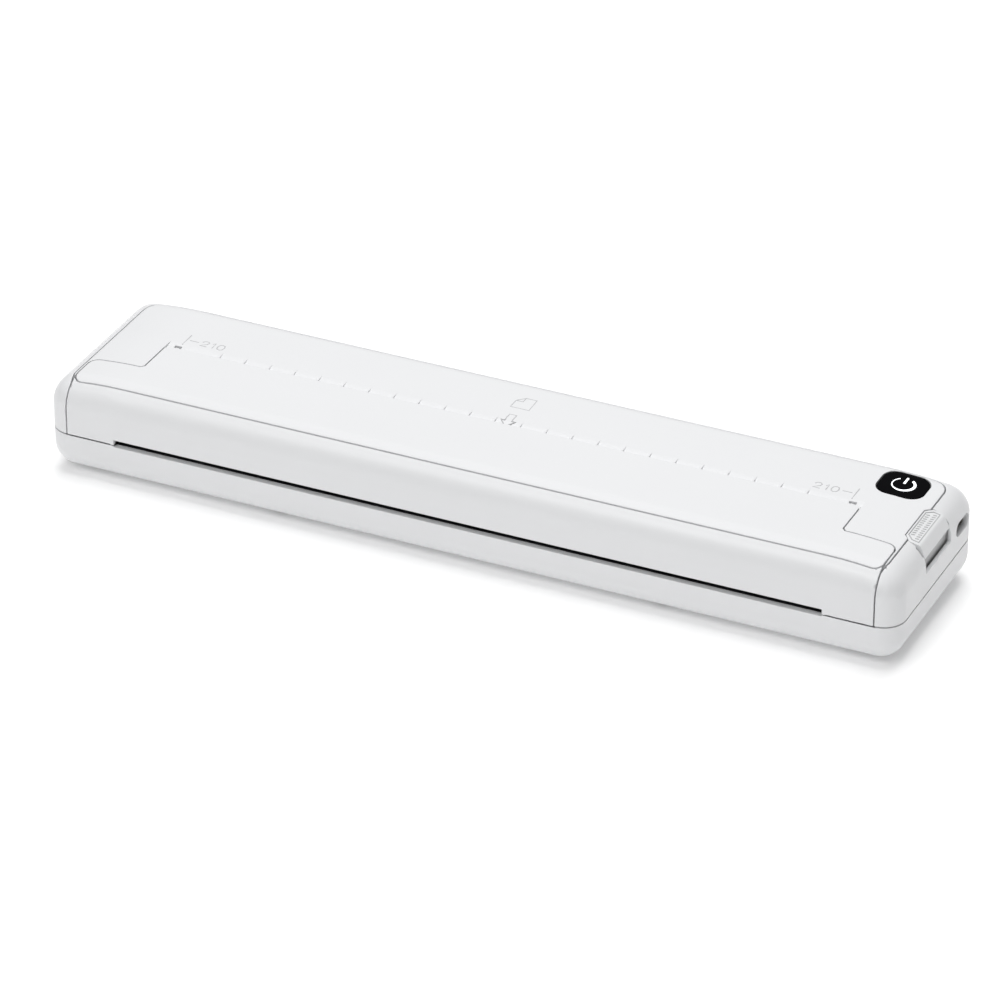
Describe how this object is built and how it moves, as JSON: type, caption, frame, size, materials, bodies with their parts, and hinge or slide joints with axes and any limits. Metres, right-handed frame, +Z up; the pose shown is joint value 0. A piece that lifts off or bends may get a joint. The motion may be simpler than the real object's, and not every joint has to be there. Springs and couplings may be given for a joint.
{
  "type": "a4 portable thermal printer",
  "caption": "Slim white portable A4 thermal printer: rounded bar body, hinged front cover over a platen roller, top paper inlet, front outlet slot, side release latch and power button.",
  "frame": {"origin": "on the table, under the middle of the body", "axes": "+X to the right end with the latch and port, +Y to the back, +Z up"},
  "size_m": [0.2646, 0.0604, 0.0313],
  "materials": {
    "white_case": "satin, fine spark texture",
    "dark_plastic": "matt",
    "gear_plastic": "natural acetal",
    "brass": "machined",
    "roller_rubber": "ground",
    "foot_rubber": "matt",
    "steel": "zinc plated",
    "motor_steel": "plated",
    "socket_steel": "nickel",
    "aluminium": "extruded",
    "ceramic": "glazed",
    "gloss_black": "polished",
    "circuit_board": "solder mask",
    "chip_black": "moulded",
    "cell_wrap": "shrink film"
  },
  "bodies": {
    "base": {"battery_cell_1": "cell_wrap", "battery_cell_2": "cell_wrap", "board_chips": "chip_black", "bottom_case": "white_case", "charging_socket": "socket_steel", "chassis_plate": "steel", "foot_front_left": "foot_rubber", "foot_front_right": "foot_rubber", "foot_rear_left": "foot_rubber", "foot_rear_right": "foot_rubber", "head_pivot_rod": "steel", "head_spring_1": "steel", "head_spring_2": "steel", "head_spring_3": "steel", "head_spring_4": "steel", "hinge_pin_left": "steel", "hinge_pin_right": "steel", "idler_stud": "steel", "latch_spring": "steel", "main_board": "circuit_board", "motor_body": "motor_steel", "motor_flange": "steel", "outlet_guide": "dark_plastic", "paper_sensor": "chip_black", "side_plate_left": "steel", "side_plate_right": "steel", "tact_switch": "chip_black", "top_deck": "white_case", "transfer_stud": "steel", "upper_housing": "white_case"},
    "cover": {"cover_top_plate": "white_case", "cover_front_shell": "white_case", "cover_inner_frame": "dark_plastic", "tear_bar": "steel", "platen_bush_left": "gear_plastic", "platen_bush_right": "gear_plastic"},
    "platen": {"platen_shaft": "steel", "platen_rubber": "roller_rubber", "platen_gear": "gear_plastic"},
    "idler": {"idler_gear": "gear_plastic"},
    "transfer": {"transfer_gear": "gear_plastic"},
    "motor_rotor": {"motor_pinion": "brass"},
    "print_head": {"print_head_board": "ceramic", "print_head_heat_sink": "aluminium", "driver_chip_cover": "dark_plastic"},
    "release_hooks": {"hook_shaft": "steel", "hook_left": "steel", "hook_right": "steel", "release_lever": "dark_plastic"},
    "latch": {"latch_button": "white_case"},
    "power": {"power_button": "gloss_black"}
  },
  "joints": [
    {"name": "cover_hinge", "type": "hinge", "parent": "base", "child": "cover", "pos_m": [0, -0.02805, 0.0161], "axis": [1, 0, 0], "range_deg": [0, 80]},
    {"name": "platen_spin", "type": "hinge", "parent": "cover", "child": "platen", "pos_m": [0, -0.02, 0.0195], "axis": [1, 0, 0], "continuous": true},
    {"name": "idler_spin", "type": "hinge", "parent": "base", "child": "idler", "pos_m": [0, -0.02332, 0.0106], "axis": [1, 0, 0], "continuous": true},
    {"name": "transfer_spin", "type": "hinge", "parent": "base", "child": "transfer", "pos_m": [0, -0.01115, 0.01344], "axis": [1, 0, 0], "continuous": true},
    {"name": "motor_spin", "type": "hinge", "parent": "base", "child": "motor_rotor", "pos_m": [0, 0.0006, 0.011], "axis": [1, 0, 0], "continuous": true},
    {"name": "head_pivot", "type": "hinge", "parent": "base", "child": "print_head", "pos_m": [0, -0.00678, 0.01618], "axis": [1, 0, 0], "range_deg": [0, 3], "stiffness_Nm_per_rad": 0.2, "springref_deg": -16.04, "deforming": ["head_spring_1", "head_spring_2", "head_spring_3", "head_spring_4"]},
    {"name": "latch_press", "type": "slide", "parent": "base", "child": "latch", "axis": [0, 0, -1], "range_m": [0, 0.0016], "stiffness_N_per_m": 300, "springref_m": -0.005, "deforming": ["latch_spring"]},
    {"name": "hook_turn", "type": "hinge", "parent": "base", "child": "release_hooks", "pos_m": [0, -0.0115, 0.0052], "axis": [1, 0, 0], "range_deg": [-11.7, 0.1]},
    {"name": "power_press", "type": "slide", "parent": "base", "child": "power", "axis": [0, 0, -1], "range_m": [0, 0.0006], "stiffness_N_per_m": 800, "springref_m": -0.001}
  ],
  "couplings": [
    {"joint": "idler_spin", "follows": "platen_spin", "ratio": -1.7143},
    {"joint": "transfer_spin", "follows": "platen_spin", "ratio": 0.66667},
    {"joint": "motor_spin", "follows": "platen_spin", "ratio": -2},
    {"joint": "hook_turn", "follows": "latch_press", "rad_per_m": -125}
  ]
}
